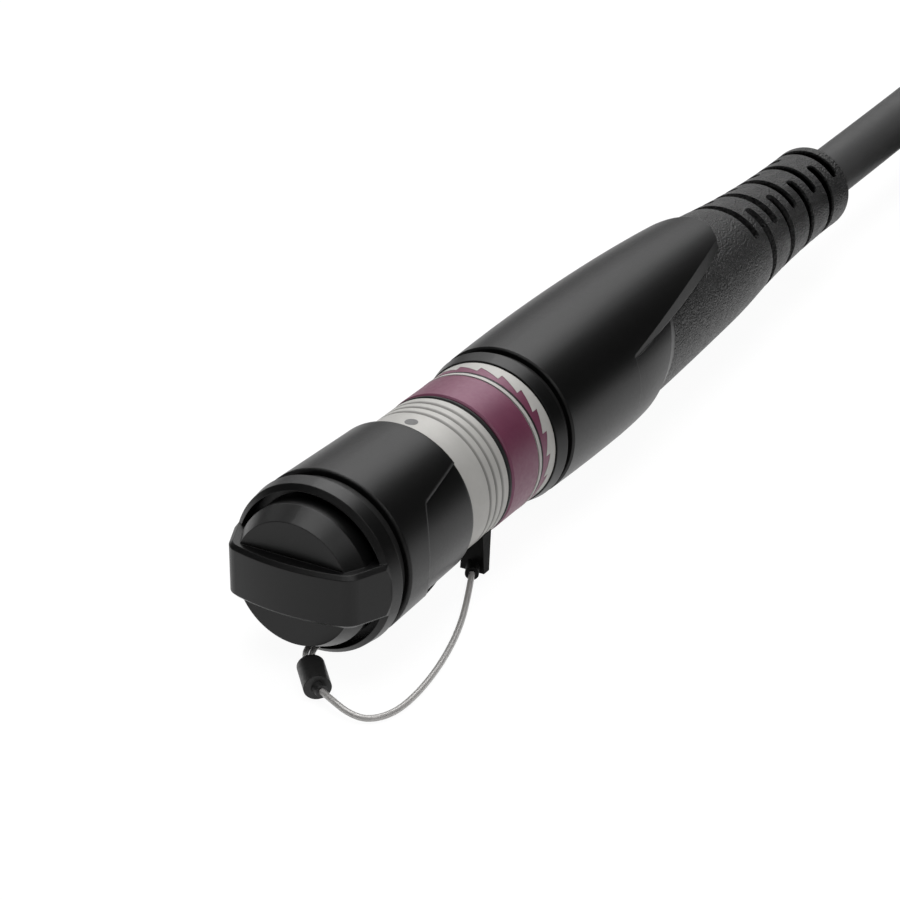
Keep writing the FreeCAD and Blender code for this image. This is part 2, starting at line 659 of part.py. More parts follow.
def cap_sleeve():
    mouth_r = shell_r + RUN_GAP
    nose_bore_r = nose_r + RUN_GAP
    step_x = -SHELL_IN_CAP - END_GAP
    floor_x = -NOSE_LENGTH - END_GAP - GASKET_LENGTH
    spigot_r = SPIGOT_DIAMETER / 2
    body = turned((-CAP_LENGTH, spigot_r), (-CAP_LENGTH, cap_front_r - FINE_BEVEL),
                  (-CAP_LENGTH + FINE_BEVEL, cap_front_r), (-FINE_BEVEL, cap_rim_r),
                  (0, cap_rim_r - FINE_BEVEL), (0, mouth_r), (step_x, mouth_r), (step_x, nose_bore_r),
                  (floor_x, nose_bore_r), (floor_x, spigot_r))
    skin = turned((-CAP_LENGTH, cap_front_r - SIDE_RELIEF_DEPTH), (-CAP_LENGTH, 2 * cap_front_r),
                  (0, 2 * cap_front_r), (0, cap_rim_r - SIDE_RELIEF_DEPTH))
    (top_x, top_z), (foot_x, foot_z) = SIDE_RELIEF_TOP, SIDE_RELIEF_FOOT
    corners = [Vector(-x, 0, z) for x, z in ((top_x, top_z), (0, SIDE_RELIEF_TOP_REAR),
                                             (0, -SIDE_RELIEF_FOOT_REAR), (foot_x, -foot_z))]
    edges = [Part.makeLine(a, b) for a, b in zip(corners, corners[1:])]
    edges.append(arc_edge((-foot_x, -foot_z), (-SIDE_RELIEF_CROWN, 0), (-top_x, top_z)))
    region = Part.Face(Part.Wire(Part.__sortEdges__(edges)))
    flanks = [region.extrude(Vector(0, side * 2 * cap_front_r, 0)) for side in (-1, 1)]
    body = body.cut([skin.common(flank) for flank in flanks])
    fronts = [e for e in body.Edges if on_relief_front(e)]
    return body.makeChamfer(SIDE_RELIEF_BEVEL * SIDE_RELIEF_DEPTH, fronts)


def cap_gasket():
    outer_r = nose_r + RUN_GAP
    x = -NOSE_LENGTH - END_GAP - GASKET_LENGTH
    return ring(x, x + GASKET_LENGTH, outer_r - GASKET_WALL, outer_r)


def groove_seal():
    boss_r = knob_ring_r - KNOB_GROOVE_DEPTH
    return ring(knob_x, -CAP_LENGTH, boss_r, cap_front_r - GROOVE_SEAL_SINK, FINE_BEVEL)


def grip_bar():
    """Bar across the knob: a bowed front face, ends that slope back to the ring."""
    half = BAR_FACE / 2
    root_x = pocket_x - BAR_ROOT
    corner_x = bar_face_x + BAR_CROWN
    face_ends = [Vector(corner_x, -half, 0), Vector(corner_x, half, 0)]
    bow = Part.Arc(face_ends[0], Vector(bar_face_x, 0, 0), face_ends[1]).toShape()
    reach = knob_ring_r
    corners = [face_ends[1], Vector(root_x, reach, 0), Vector(knob_x, reach, 0), Vector(knob_x, -reach, 0),
               Vector(root_x, -reach, 0), face_ends[0]]
    sides = [Part.makeLine(a, b) for a, b in zip(corners, corners[1:])]
    plan = Part.Face(Part.Wire(Part.__sortEdges__([bow] + sides)))
    plan.translate(Vector(0, 0, -BAR_WIDTH / 2))
    bar = plan.extrude(Vector(0, 0, BAR_WIDTH))
    uprights = [e for e in bar.Edges
                if e.BoundBox.ZLength > BAR_WIDTH / 2 and e.BoundBox.XMax < corner_x + BAR_EDGE]
    bar = bar.makeFillet(BAR_CORNER, uprights)
    front = [e for e in bar.Edges
             if e.BoundBox.ZLength < BAR_WIDTH / 2 and e.BoundBox.XMax < root_x + BAR_EDGE]
    bar = bar.makeChamfer(BAR_EDGE, front)
    return bar.common(rod(bar_face_x - BAR_EDGE, knob_x, knob_ring_r - KNOB_RING_FALL))


def cap_knob():
    boss_r = knob_ring_r - KNOB_GROOVE_DEPTH
    spigot_r = SPIGOT_DIAMETER / 2
    body = turned((-CAP_LENGTH + SPIGOT_LENGTH, 0), (-CAP_LENGTH + SPIGOT_LENGTH, spigot_r),
                  (-CAP_LENGTH, spigot_r), (-CAP_LENGTH, boss_r), (knob_x, boss_r),
                  (knob_x, knob_ring_r - FINE_BEVEL), (knob_x - FINE_BEVEL, knob_ring_r),
                  (knob_crest_x, knob_ring_r - KNOB_RING_FALL), (knob_front_x, knob_lip_r),
                  (pocket_x, knob_lip_r), (pocket_x, dome_r), (dome_rim_x, dome_r),
                  (dome_face_x, dome_r - DOME_BEVEL), (dome_face_x, 0))
    return body.fuse(grip_bar()).removeSplitter()


# Tether, laid on the floor beside the plug

leg_height = -(dome_r + POCKET_WIDTH / 2)
ferrule_height = FERRULE_HEIGHT / 2 - axis_height
wire_height = WIRE_DIAMETER / 2 - axis_height


def heading(degrees):
    return Vector(math.cos(math.radians(degrees)), math.sin(math.radians(degrees)), 0)


def cord_path(points):
    """Straight runs joined by arcs that take 0.45 of the shorter run beside each corner."""
    edges = []
    radii = []
    here = points[0]
    for before, corner, after in zip(points, points[1:], points[2:]):
        back, ahead = before - corner, after - corner
        cut = 0.45 * min(back.Length, ahead.Length)
        back.normalize()
        ahead.normalize()
        half_turn = (math.pi - back.getAngle(ahead)) / 2
        radii.append(cut / math.tan(half_turn))
        start, end = corner + back * cut, corner + ahead * cut
        inward = (back + ahead).normalize()
        middle = corner + inward * (radii[-1] / math.cos(half_turn) - radii[-1])
        edges.append(Part.makeLine(here, start))
        edges.append(Part.Arc(start, middle, end).toShape())
        here = end
    edges.append(Part.makeLine(here, points[-1]))
    return Part.Wire(edges), radii


def cord_tube(name, points, diameter):
    """Round tube along a route, with its bends and its volume printed."""
    path, radii = cord_path(points)
    start = (points[1] - points[0]).normalize()
    section = Part.Wire(Part.Circle(points[0], start, diameter / 2).toShape())
    tube = path.makePipeShell([section], True, False)
    expected = math.pi * diameter ** 2 / 4 * path.Length
    bends = ", ".join("%.1f" % r for r in radii)
    print("%s: length %.1f, radii %s, volume %.4f of section times length"
          % (name, path.Length, bends or "none", tube.Volume / expected))
    return tube


def tether_legs():
    """Two legs of the wire loop, from the knob's lower pocket into the ferrule's mouth."""
    legs = []
    along = heading(FERRULE_HEADING)
    mouth = Vector(*FERRULE_PLACE, 0) + along * FERRULE_MOUTH
    for side in (-0.5, 0.5):
        bend = Vector(*LEG_BEND, 0) + Vector(0, side * LEG_SPREAD, leg_height)
        root = Vector(pocket_x, bend.y, leg_height)
        across = Vector(-along.y, along.x, 0) * -side * LEG_SPREAD
        end = mouth + across + Vector(0, 0, ferrule_height)
        legs.append(cord_tube("tether leg", [root, bend, end], LEG_DIAMETER))
    return Part.makeCompound(legs)


def oval_bar(width, height, length, x=0.0):
    """Oval bar along X from x."""
    ellipse = Part.Ellipse(ORIGIN, width / 2, height / 2)
    face = Part.Face(Part.Wire(ellipse.toShape()))
    face.rotate(ORIGIN, Vector(1, 1, 1), 120)
    face.translate(Vector(x, 0, 0))
    return face.extrude(Vector(length, 0, 0))


def nozzle_line():
    """Start, direction and end of the ferrule's nozzle."""
    along = heading(FERRULE_HEADING + FERRULE_NOZZLE_TURN)
    start = Vector(*FERRULE_PLACE, ferrule_height) + heading(FERRULE_HEADING) * FERRULE_LENGTH
    return start, along, start + along * FERRULE_NOZZLE_LENGTH


def tether_ferrule():
    body = oval_bar(FERRULE_WIDTH, FERRULE_HEIGHT, FERRULE_LENGTH)
    mouth = oval_bar(FERRULE_WIDTH - 2 * FERRULE_RIM, FERRULE_HEIGHT - 2 * FERRULE_RIM, FERRULE_MOUTH)
    ferrule = body.cut(mouth)
    ferrule.rotate(ORIGIN, Vector(0, 0, 1), FERRULE_HEADING)
    ferrule.translate(Vector(*FERRULE_PLACE, ferrule_height))
    start, along, end = nozzle_line()
    sunk = start - along * FERRULE_NOZZLE
    return ferrule.fuse(Part.makeCylinder(FERRULE_NOZZLE / 2, (end - sunk).Length, sunk, along))


def tether_route():
    start, along, end = nozzle_line()
    laid = [Vector(x, y, wire_height + rise) for x, y, rise in TETHER_POINTS]
    return [end, end + along * TETHER_LEAD] + laid


def tether_cord():
    return cord_tube("tether", tether_route(), WIRE_DIAMETER)


def tether_clip():
    """Tapered lug under the shell, with a round nub that holds the tether."""
    root_z = -CLIP_DROP
    tip_z = CLIP_TIP_GAP - axis_height
    wires = []
    for (x0, x1), (y0, y1), z in ((CLIP_X, CLIP_Y, root_z), (CLIP_TIP_X, CLIP_TIP_Y, tip_z)):
        corners = [Vector(x0, y0, z), Vector(x1, y0, z), Vector(x1, y1, z), Vector(x0, y1, z)]
        wires.append(Part.makePolygon(corners + corners[:1]))
    lug = Part.makeLoft(wires, True, True).cut(rod(-CAP_LENGTH, boot_end_x, shell_r))
    end = tether_route()[-1]
    along = heading(CLIP_NUB_HEADING)
    nub = Part.makeCylinder(CLIP_NUB_DIAMETER / 2, CLIP_NUB_LENGTH, end - along * CLIP_NUB_LENGTH, along)
    return lug.fuse(nub).removeSplitter()


def plug_pieces():
    return {
        "cap_sleeve": cap_sleeve(),
        "cap_knob": cap_knob(),
        "cap_groove_seal": groove_seal(),
        "cap_gasket": cap_gasket(),
        "tether_legs": tether_legs(),
        "tether_ferrule": tether_ferrule(),
        "tether_cord": tether_cord(),
        "tether_clip": tether_clip(),
        "plug_shell": plug_shell(),
        "index_dot": index_dot(),
        "contact_insert": contact_insert(),
        "lens_barrels": lens_barrels(),
        "power_contacts": power_contacts(),
        "guide_pins": guide_pins(),
        "optical_fibres": optical_fibres(),
        "power_leads": power_leads(),
        "shell_seal": shell_seal(),
        "ring_carrier": ring_carrier(),
        "colour_band": colour_band(),
        "slot_band": slot_band(),
        "tooth_band": tooth_band(),
        "lock_ring": lock_ring(),
        "disc_spring": disc_spring(),
        "collar": collar(),
        "housing_seal": housing_seal(),
        "housing": housing(),
        "boot": boot(),
        "cable_clamp": cable_clamp(),
        "crimp_sleeve": crimp_sleeve(),
        "cable_end": cable_end(),
    }


# Free cable: out of the near boot, round the coil from its upper layer down, and into the far boot

column_pitch = CABLE_DIAMETER
coil_low = TIE_THICKNESS
coil_high = coil_low + COIL_LAYERS * CABLE_DIAMETER
coil_outer_turn_r = COIL_MIDDLE_DIAMETER / 2 + (COIL_COLUMNS - 1) / 2 * column_pitch
coil_in_r = COIL_MIDDLE_DIAMETER / 2 - COIL_COLUMNS / 2 * column_pitch
coil_out_r = COIL_MIDDLE_DIAMETER / 2 + COIL_COLUMNS / 2 * column_pitch
cable_start = Vector(boot_end_x - middle_x, 0, axis_height)
coil_centre = Vector(COIL_PLACE, -coil_outer_turn_r, 0)
far_shift = Vector(COIL_PLACE - FAR_BOOT_GAP - cable_start.x, -2 * coil_outer_turn_r, 0)


def cable_run():
    """Nearly level, on to the coil's upper layer."""
    middle = Vector((cable_start.x + COIL_PLACE) / 2, 0, axis_height)
    top = Vector(COIL_PLACE, 0, coil_high - cable_r)
    return cord_tube("cable run", [cable_start, middle, top], CABLE_DIAMETER)


def far_run():
    """From the far boot down to the coil's lower layer."""
    boot_end = cable_start + far_shift
    low = Vector(COIL_PLACE, far_shift.y, coil_low + cable_r)
    lead = Vector(FAR_LEAD, 0, 0)
    return cord_tube("far run", [boot_end, boot_end + lead, low - lead, low], CABLE_DIAMETER)


def cable_coil():
    """Outer shape of the wound turns."""
    height = coil_high - coil_low
    base = coil_centre + Vector(0, 0, coil_low)
    body = Part.makeCylinder(coil_out_r, height, base).cut(Part.makeCylinder(coil_in_r, height, base))
    return body.makeFillet(COIL_EDGE, [e for e in body.Edges if e.Curve.TypeId == "Part::GeomCircle"])


def rounded_frame(x0, x1, z0, z1, radius):
    """Face of a rectangle in the XZ plane with round corners."""
    box = Part.makeBox(x1 - x0, 1, z1 - z0, Vector(x0, 0, z0))
    box = box.makeFillet(radius, [e for e in box.Edges if e.BoundBox.YLength > 0.5])
    return [f for f in box.Faces if f.BoundBox.YMax < 0.01][0]


def coil_tie():
    """Strap round the coil's section, on the side away from the plugs."""
    x0, x1 = coil_in_r - TIE_SLACK, coil_out_r + TIE_SLACK / 2
    t = TIE_THICKNESS
    outer = rounded_frame(x0 - t, x1 + t, 0, coil_high + t, cable_r)
    inner = rounded_frame(x0, x1, t, coil_high, cable_r - t)
    strap = outer.extrude(Vector(0, TIE_WIDTH, 0)).cut(inner.extrude(Vector(0, TIE_WIDTH, 0)))
    strap.translate(coil_centre + Vector(0, -TIE_WIDTH / 2, 0))
    return strap


def main():
    os.makedirs("parts", exist_ok=True)
    on_floor = Vector(-middle_x, 0, axis_height)
    pieces = {"cable_run": cable_run(), "far_run": far_run(), "cable_coil": cable_coil(),
              "coil_tie": coil_tie()}
    for name, shape in plug_pieces().items():
        near = shape.copy()
        near.translate(on_floor)
        pieces[name] = near
        if name not in HIDDEN_IN_FAR_PLUG:
            far = near.copy()
            far.translate(far_shift)
            pieces["far_" + name] = far
    for name, shape in pieces.items():
        shape.exportStep(os.path.join("parts", name + ".step"))
    print("%d pieces" % len(pieces))


main()
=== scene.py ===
import math
import bpy
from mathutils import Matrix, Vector


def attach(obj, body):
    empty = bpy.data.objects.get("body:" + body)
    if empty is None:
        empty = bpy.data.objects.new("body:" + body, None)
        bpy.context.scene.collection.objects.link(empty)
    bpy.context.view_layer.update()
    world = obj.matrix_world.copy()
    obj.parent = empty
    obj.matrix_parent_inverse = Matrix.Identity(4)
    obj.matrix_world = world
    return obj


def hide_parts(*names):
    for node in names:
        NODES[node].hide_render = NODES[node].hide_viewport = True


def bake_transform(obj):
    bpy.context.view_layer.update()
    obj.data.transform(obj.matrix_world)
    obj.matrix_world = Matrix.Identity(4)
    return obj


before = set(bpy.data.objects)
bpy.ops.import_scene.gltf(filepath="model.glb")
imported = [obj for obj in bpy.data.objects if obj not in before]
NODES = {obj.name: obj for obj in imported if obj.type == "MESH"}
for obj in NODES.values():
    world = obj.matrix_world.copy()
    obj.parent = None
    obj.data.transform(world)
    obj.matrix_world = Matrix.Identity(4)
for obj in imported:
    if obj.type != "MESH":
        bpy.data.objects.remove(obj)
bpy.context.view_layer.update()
MM = 0.001

# Where things are in the part's frame, in millimetres.
AXIS_Z = 13.9                               # height of the plug's axis over the floor
CAP_RIM_X = -58.775                         # the cap's rim, from which places along the plug are counted
FAR_SHIFT = Vector((14.425, -113.6, 0))     # from the near plug to the far one
SHELL_R = 12.1
CABLE_D = 9.8
WIRE_D = 1.0


def from_cap_rim(along, across, up):
    """A point given along the plug from the cap's rim, in metres in the part's frame."""
    return Vector((along + CAP_RIM_X, across, up)) * MM


# Shader nodes

MIX_A, MIX_B, MIX_RESULT = 6, 7, 2          # a Mix node's colour inputs and its colour output


def feed(made, socket, value):
    """Gives an input a plain value, or another node's output."""
    if isinstance(value, bpy.types.NodeSocket):
        made.node_tree.links.new(value, socket)
    else:
        socket.default_value = value


def add(made, kind, inputs=None):
    """A new node, with its inputs given by name or number."""
    node = made.node_tree.nodes.new(kind)
    for key, value in (inputs or {}).items():
        feed(made, node.inputs[key], value)
    return node


def shader_of(made):
    return made.node_tree.nodes["Principled BSDF"]


def look(made, socket, value):
    """Sets one of the shader's own inputs."""
    feed(made, shader_of(made).inputs[socket], value)


def spot(made, kind="Object"):
    """The X, Y and Z of the place that is shaded."""
    where = add(made, "ShaderNodeTexCoord")
    return add(made, "ShaderNodeSeparateXYZ", {"Vector": where.outputs[kind]}).outputs


def reckon(made, operation, *values):
    """One sum on numbers or on other nodes' results."""
    total = add(made, "ShaderNodeMath")
    total.operation = operation
    for socket, value in zip(total.inputs, values):
        feed(made, socket, value)
    return total.outputs[0]


def ranged(made, value, start, end, low=0.0, high=1.0):
    """A value stretched from one range to another, and held at its ends."""
    stretch = add(made, "ShaderNodeMapRange", {
        "Value": value, "From Min": start, "From Max": end, "To Min": low, "To Max": high})
    return stretch.outputs["Result"]


def ramp(made, value, stops):
    """Colour over a value, as stops of (place, colour)."""
    node = add(made, "ShaderNodeValToRGB", {"Fac": value})
    band = node.color_ramp
    while len(band.elements) < len(stops):
        band.elements.new(0.5)
    for element, (at, colour) in zip(band.elements, stops):
        element.position = at
        element.color = (*colour, 1)
    return node.outputs["Color"]


def grey(shade):
    return (shade, shade, shade)


def grey_ramp(made, value, stops):
    """A share over a value, as stops of (place, share)."""
    return ramp(made, value, [(at, grey(share)) for at, share in stops])


# Finishes

CLOUD_LOW, CLOUD_HIGH = 0.3, 0.7            # most of a cloud's values lie between these
EDGE_SAMPLES = 6
GRAIN_SMOOTHNESS = 0.6


def finish(name, colour, roughness, metallic=0.0, specular=0.5, edge_mm=0.0):
    """A new material, whose edges catch the light as if rounded by edge_mm."""
    made = bpy.data.materials.new(name)
    made.use_nodes = True
    look(made, "Base Color", (*colour, 1))
    look(made, "Roughness", roughness)
    look(made, "Metallic", metallic)
    look(made, "Specular IOR Level", specular)
    if edge_mm:
        edge = add(made, "ShaderNodeBevel", {"Radius": edge_mm * MM})
        edge.samples = EDGE_SAMPLES
        look(made, "Normal", edge.outputs["Normal"])
    return made


def place(made, stretch=(1, 1, 1)):
    """Coordinates for a pattern, in metres of the part's frame."""
    where = add(made, "ShaderNodeTexCoord")
    mapping = add(made, "ShaderNodeMapping", {"Vector": where.outputs["Object"], "Scale": stretch})
    return mapping.outputs["Vector"]


def cloud(made, size_mm, detail=2.0, stretch=(1, 1, 1)):
    """Soft noise whose lumps are about this size."""
    noise = add(made, "ShaderNodeTexNoise", {
        "Vector": place(made, stretch), "Scale": 1 / (size_mm * MM), "Detail": detail})
    return noise.outputs["Fac"]


def grains(made, size_mm):
    """Small round pits side by side."""
    cells = add(made, "ShaderNodeTexVoronoi", {"Vector": place(made), "Scale": 1 / (size_mm * MM)})
    cells.feature = "SMOOTH_F1"
    feed(made, cells.inputs["Smoothness"], GRAIN_SMOOTHNESS)
    return cells.outputs["Distance"]


def relief(made, height, depth_mm, strength=1.0):
    """Bump on top of what the normal already carries."""
    normal = shader_of(made).inputs["Normal"]
    bump = add(made, "ShaderNodeBump", {
        "Height": height, "Distance": depth_mm * MM, "Strength": strength})
    if normal.is_linked:
        feed(made, bump.inputs["Normal"], normal.links[0].from_socket)
    look(made, "Normal", bump.outputs["Normal"])


def tint(made, value, dark, light, low=CLOUD_LOW, high=CLOUD_HIGH):
    """Colour that goes from dark to light over a pattern."""
    look(made, "Base Color", ramp(made, value, [(low, dark), (high, light)]))


def vary_gloss(made, below, above, patch_mm, detail=2.0, stretch=(1, 1, 1)):
    """Lets the roughness wander from its middle value, in patches of about this size."""
    middle = shader_of(made).inputs["Roughness"].default_value
    patches = cloud(made, patch_mm, detail, stretch)
    look(made, "Roughness",
         ranged(made, patches, CLOUD_LOW, CLOUD_HIGH, middle - below, middle + above))


def place_on_plug(made):
    """Distance from the nearer plug's axis, and place along it from its cap's rim, in millimetres."""
    x, y, z = [reckon(made, "DIVIDE", axis, MM) for axis in spot(made)]
    middle = FAR_SHIFT.y / 2
    is_far = reckon(made, "LESS_THAN", y, middle)
    from_near_rim = reckon(made, "SUBTRACT", x, CAP_RIM_X)
    along = reckon(made, "SUBTRACT", from_near_rim, reckon(made, "MULTIPLY", is_far, FAR_SHIFT.x))
    from_middle = reckon(made, "ABSOLUTE", reckon(made, "SUBTRACT", y, middle))
    sideways = reckon(made, "ABSOLUTE", reckon(made, "ADD", from_middle, middle))
    upward = reckon(made, "ABSOLUTE", reckon(made, "SUBTRACT", z, AXIS_Z))
    squares = [reckon(made, "POWER", leg, 2) for leg in (sideways, upward)]
    return reckon(made, "SQRT", reckon(made, "ADD", *squares)), along


def paint_shade_by_depth(made, depth, stops):
    """Paints shade into colour and gloss below the outside, by stops of (depth in millimetres, share)."""
    colour = shader_of(made).inputs["Base Color"].links[0].from_socket
    gloss = shader_of(made).inputs["Specular IOR Level"].default_value
    share = grey_ramp(made, depth, stops)
    dimmed = add(made, "ShaderNodeMix", {"Factor": 1})
    dimmed.data_type = "RGBA"
    dimmed.blend_type = "MULTIPLY"
    feed(made, dimmed.inputs[MIX_A], colour)
    feed(made, dimmed.inputs[MIX_B], share)
    look(made, "Base Color", dimmed.outputs[MIX_RESULT])
    look(made, "Specular IOR Level", reckon(made, "MULTIPLY", share, gloss))


def plain_finish(name, colour, roughness, drift, patch_mm, detail=3, stretch=(1, 1, 1), **more):
    """A finish of one colour, with a gloss that drifts by (below, above) its middle value."""
    made = finish(name, colour, roughness, **more)
    vary_gloss(made, *drift, patch_mm, detail, stretch)
    return made


def satin_nylon(name, edge_mm):
    """Fine-eroded black moulding."""
    shade = 0.0018
    made = finish(name, grey(shade), roughness=0.38, specular=0.32, edge_mm=edge_mm)
    tint(made, cloud(made, 9.0, detail=3), grey(shade * 0.85), (shade * 1.15, shade * 1.15, shade * 1.18))
    vary_gloss(made, 0.02, 0.02, patch_mm=0.5)
    relief(made, cloud(made, 0.16), depth_mm=0.012, strength=0.5)
    return made


# The boot's outside, as (place along the plug, radius) in millimetres.
BOOT_CONE_START, BOOT_CONE_END = (105, 9.85), (132, 8.05)
BOOT_TIP_START, BOOT_TIP_END = (148.2, 8.0), (148.7, 4.0)       # the round tip is left unshaded
# Painted shade in the boot's slots, as stops of (depth below the outside in millimetres, share of colour
# and gloss).
PAINTED_SLOT_SHADE = [(0.0, 1.0), (0.5, 0.02)]


def radius_between(made, along, start, end):
    """Radius that changes evenly between two places along the plug."""
    return ranged(made, along, start[0], end[0], start[1], end[1])


def grained_rubber():
    """Coarse spark-eroded elastomer of the boot, with painted shade in its slots."""
    shade = 0.014
    made = finish("grained_boot_rubber", grey(shade), roughness=0.46)
    pits = cloud(made, 0.37, detail=1)
    tint(made, pits, grey(shade * 0.5), grey(shade * 1.7), low=0.35, high=0.65)
    vary_gloss(made, 0.04, 0.05, patch_mm=1.5, detail=3)
    relief(made, pits, depth_mm=0.42)
    # painted shade in the slots, by depth below the boot's outside
    off_axis, along = place_on_plug(made)
    cone = radius_between(made, along, BOOT_CONE_START, BOOT_CONE_END)
    tip = radius_between(made, along, BOOT_TIP_START, BOOT_TIP_END)
    skin = reckon(made, "MINIMUM", cone, tip)
    paint_shade_by_depth(made, reckon(made, "SUBTRACT", skin, off_axis), PAINTED_SLOT_SHADE)
    return made


def blasted_metal(name):
    """Bead-blasted, plated metal."""
    colour = (0.44, 0.432, 0.414)
    made = finish(name, colour, roughness=0.58, metallic=0.25, edge_mm=0.05)
    tint(made, cloud(made, 5.0, detail=4), [c * 0.95 for c in colour], [c * 1.04 for c in colour])
    vary_gloss(made, 0.05, 0.06, patch_mm=0.8, detail=3)
    relief(made, cloud(made, 0.09), depth_mm=0.006, strength=0.5)
    return made


# Painted shade in the shell's grooves, as stops of (depth below the shell's outside in millimetres, share
# of colour and gloss).
PAINTED_GROOVE_SHADE = [(0.03, 1.0), (0.15, 0.55), (0.3, 0.5), (0.34, 1.0)]


def grooved_metal():
    """The same metal on the plug's shell, with painted shade in its turned grooves."""
    made = blasted_metal("grooved_pale_metal")
    off_axis = place_on_plug(made)[0]
    paint_shade_by_depth(made, reckon(made, "SUBTRACT", SHELL_R, off_axis), PAINTED_GROOVE_SHADE)
    return made


def seal_rubber():
    """Dull black rubber of the seals."""
    made = finish("seal_rubber", grey(0.006), roughness=0.55, specular=0.3)
    relief(made, cloud(made, 0.2, detail=3), depth_mm=0.01, strength=0.4)
    vary_gloss(made, 0.07, 0.07, patch_mm=1.4)
    return made


def purple_anodising():
    """Dyed metal, whose sheen takes some of the dye's colour."""
    made = finish("purple_anodised", (0.112, 0.022, 0.051), roughness=0.46, edge_mm=0.15)
    look(made, "IOR", 1.8)
    look(made, "Specular Tint", (1, 0.68, 0.84, 1))
    tint(made, cloud(made, 4.0, detail=3), (0.106, 0.020, 0.048), (0.118, 0.024, 0.054))
    vary_gloss(made, 0.03, 0.08, patch_mm=0.7, detail=3)
    relief(made, cloud(made, 0.1), depth_mm=0.005, strength=0.4)
    return made


def ferrule_black():
    """Moulded black of the tether's ferrule."""
    made = finish("ferrule_black", grey(0.014), roughness=0.42, specular=0.4, edge_mm=0.15)
    vary_gloss(made, 0.06, 0.08, patch_mm=0.6, detail=3)
    relief(made, cloud(made, 0.2), depth_mm=0.012, strength=0.5)
    return made


def cable_jacket():
    """Matt dark grey jacket."""
    made = finish("cable_jacket", (0.05, 0.05, 0.0505), roughness=0.56, specular=0.24)
    vary_gloss(made, 0.03, 0.04, patch_mm=3.0, detail=4)
    tint(made, cloud(made, 12.0, detail=3), grey(0.047), (0.053, 0.053, 0.0535))
    relief(made, cloud(made, 0.25, detail=3), depth_mm=0.012, strength=0.5)
    return made


def tie_fabric():
    """Woven black strap."""
    made = finish("tie_fabric", (0.02, 0.02, 0.021), roughness=0.8, specular=0.2)
    relief(made, grains(made, 0.8), depth_mm=0.15, strength=0.8)
    tint(made, cloud(made, 0.5, detail=3), grey(0.014), grey(0.032))
    return made


# Finish of each slot that the part has.
SLOT_FINISH = {
    "black_plastic": satin_nylon("satin_black_nylon", edge_mm=0.2),
    "boot_rubber": grained_rubber(),
    "seal_rubber": seal_rubber(),
    "pale_metal": blasted_metal("blasted_pale_metal"),
    "purple_paint": purple_anodising(),
    "dot_grey": plain_finish("index_dot_paint", grey(0.13), 0.6, (0.1, 0.1), patch_mm=0.3, detail=2),
    "coated_wire": plain_finish("coated_wire", (0.42, 0.41, 0.40), 0.35, (0.07, 0.1), patch_mm=0.6,
                                metallic=0.3),
    "ferrule_black": ferrule_black(),
    "insert_plastic": plain_finish("insert_plastic", (0.03, 0.03, 0.032), 0.45, (0.05, 0.07), patch_mm=1.0,
                                   edge_mm=0.1),
    "steel": plain_finish("turned_steel", (0.56, 0.57, 0.58), 0.28, (0.08, 0.08), patch_mm=0.4,
                          stretch=(0.1, 1, 1), metallic=1.0, edge_mm=0.08),
    "contact_brass": plain_finish("gilt_brass", (0.78, 0.56, 0.22), 0.26, (0.06, 0.08), patch_mm=0.4,
                                  metallic=1.0, edge_mm=0.08),
    "fibre_buffer": plain_finish("fibre_buffer", (0.75, 0.62, 0.12), 0.45, (0.05, 0.05), patch_mm=0.5,
                                 detail=2),
    "lead_jacket": plain_finish("lead_jacket", (0.35, 0.03, 0.025), 0.45, (0.05, 0.05), patch_mm=0.5,
                                detail=2),
    "cable_jacket": cable_jacket(),
    "tie_fabric": tie_fabric(),
}

# Pieces of both plugs that look different from the rest of their slot.
OWN_FINISH = {
    "cap_sleeve": satin_nylon("satin_black_cap", edge_mm=0.6),
    "plug_shell": grooved_metal(),
    # painted light: the legs' wire is paler than the cord's, partly its own pale colour and partly
    # lightened against the shade under the knob
    "tether_legs": plain_finish("pale_leg_wire_with_painted_light", (0.8, 0.79, 0.77), 0.45, (0.05, 0.05), patch_mm=0.6),
    # painted shade: a dull copy of the black plastic, its sheen cut, for the shade that the clip lies in
    "tether_clip": plain_finish("clip_black_painted_shade", grey(0.0025), 0.6, (0.05, 0.06), patch_mm=0.6,
                                specular=0.12, edge_mm=0.15),
}

for node in NODES.values():
    for slot in node.material_slots:
        slot.material = SLOT_FINISH[slot.material.name]
for name, made in OWN_FINISH.items():
    for node in (NODES[name], NODES["far_" + name]):
        node.material_slots[0].material = made


# Cords

CURVE_STEPS = 6
WIRE_ROUND_STEPS = 3


def clear_selection():
    bpy.ops.object.select_all(action="DESELECT")


def nurbs_line(name, points, thickness, round_steps=CURVE_STEPS):
    """A smooth open curve with these control points, in metres."""
    curve = bpy.data.curves.new(name, "CURVE")
    curve.dimensions = "3D"
    spline = curve.splines.new("NURBS")
    spline.points.add(len(points) - 1)
    for control, point in zip(spline.points, points):
        control.co = (*point, 1)
    spline.order_u = 3
    spline.use_endpoint_u = True
    spline.resolution_u = CURVE_STEPS
    curve.resolution_u = CURVE_STEPS
    curve.bevel_depth = thickness / 2
    curve.bevel_resolution = round_steps
    curve.use_fill_caps = True
    piece = bpy.data.objects.new(name, curve)
    bpy.context.scene.collection.objects.link(piece)
    return piece


def ease(value, start, end):
    """0 up to start, 1 from end on, and smooth between them."""
    share = min(1, max(0, (value - start) / (end - start)))
    return share * share * (3 - 2 * share)


COIL_TURNS = 5.5
POINTS_A_TURN = 24
OUTER_TURN_R = -FAR_SHIFT.y / 2
COIL_CENTRE = Vector((166, -OUTER_TURN_R))
FLOOR_GAP = 0.05                            # under the lowest turns
STRAP_LIFT = 0.95                           # more than that where the strap passes below
STRAP_LIFT_POWER = 8                        # keeps that lift to a short stretch
# Counts of turns between which the cable moves one column in, one layer down, and one column out.
STEPS_IN = ((0.8, 1), (1.8, 2))
STEP_DOWN = (2.6, 2.85)
STEPS_OUT = ((3.55, 3.75), (4.55, 4.75))


